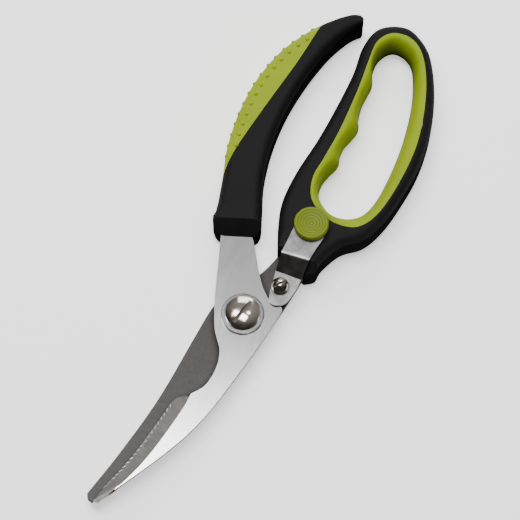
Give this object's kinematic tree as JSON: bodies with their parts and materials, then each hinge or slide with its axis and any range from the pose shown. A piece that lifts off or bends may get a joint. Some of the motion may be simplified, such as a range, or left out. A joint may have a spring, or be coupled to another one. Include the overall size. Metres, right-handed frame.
{
  "type": "poultry shears",
  "caption": "Curved poultry shears with a serrated notched blade, one open handle, one closed finger loop and a swinging thumb lock.",
  "frame": {"origin": "on the blade pivot's axis, at the centre of the pivot nut's flat outer face, which is level with the handles' back faces", "axes": "+Y from the blade tips to the handle ends, +Z out of the front (screw head) side along the pivot axis, +X towards the loop handle's outer side"},
  "size_m": [0.0831, 0.2513, 0.0213],
  "materials": {
    "front_steel": "brushed",
    "rear_steel": "fine ground",
    "polished_steel": "polished",
    "black_plastic": "matte",
    "green_rubber": "soft matte"
  },
  "bodies": {
    "rear_half": {"rear_blade": "rear_steel", "loop_handle_body": "black_plastic", "loop_grip_liner": "green_rubber", "pivot_screw": "polished_steel", "pivot_nut": "polished_steel", "pivot_spring_washer": "polished_steel", "lock_screw": "polished_steel", "lock_washer": "polished_steel", "lock_spacer": "polished_steel"},
    "front_half": {"front_blade": "front_steel", "straight_handle_body": "black_plastic", "straight_handle_pad": "green_rubber", "pivot_washer": "polished_steel"},
    "lock": {"lock_lever": "front_steel", "lock_button": "green_rubber", "lock_button_rivet": "polished_steel", "lock_lug": "polished_steel"}
  },
  "joints": [
    {"name": "blade_pivot", "type": "hinge", "parent": "rear_half", "child": "front_half", "pos_m": [0, 0, 0], "axis": [0, 0, 1], "range_deg": [0, 35]},
    {"name": "lock_pivot", "type": "hinge", "parent": "rear_half", "child": "lock", "pos_m": [0.0071, 0.0183, 0], "axis": [0, 0, 1], "range_deg": [-22, 0]}
  ]
}
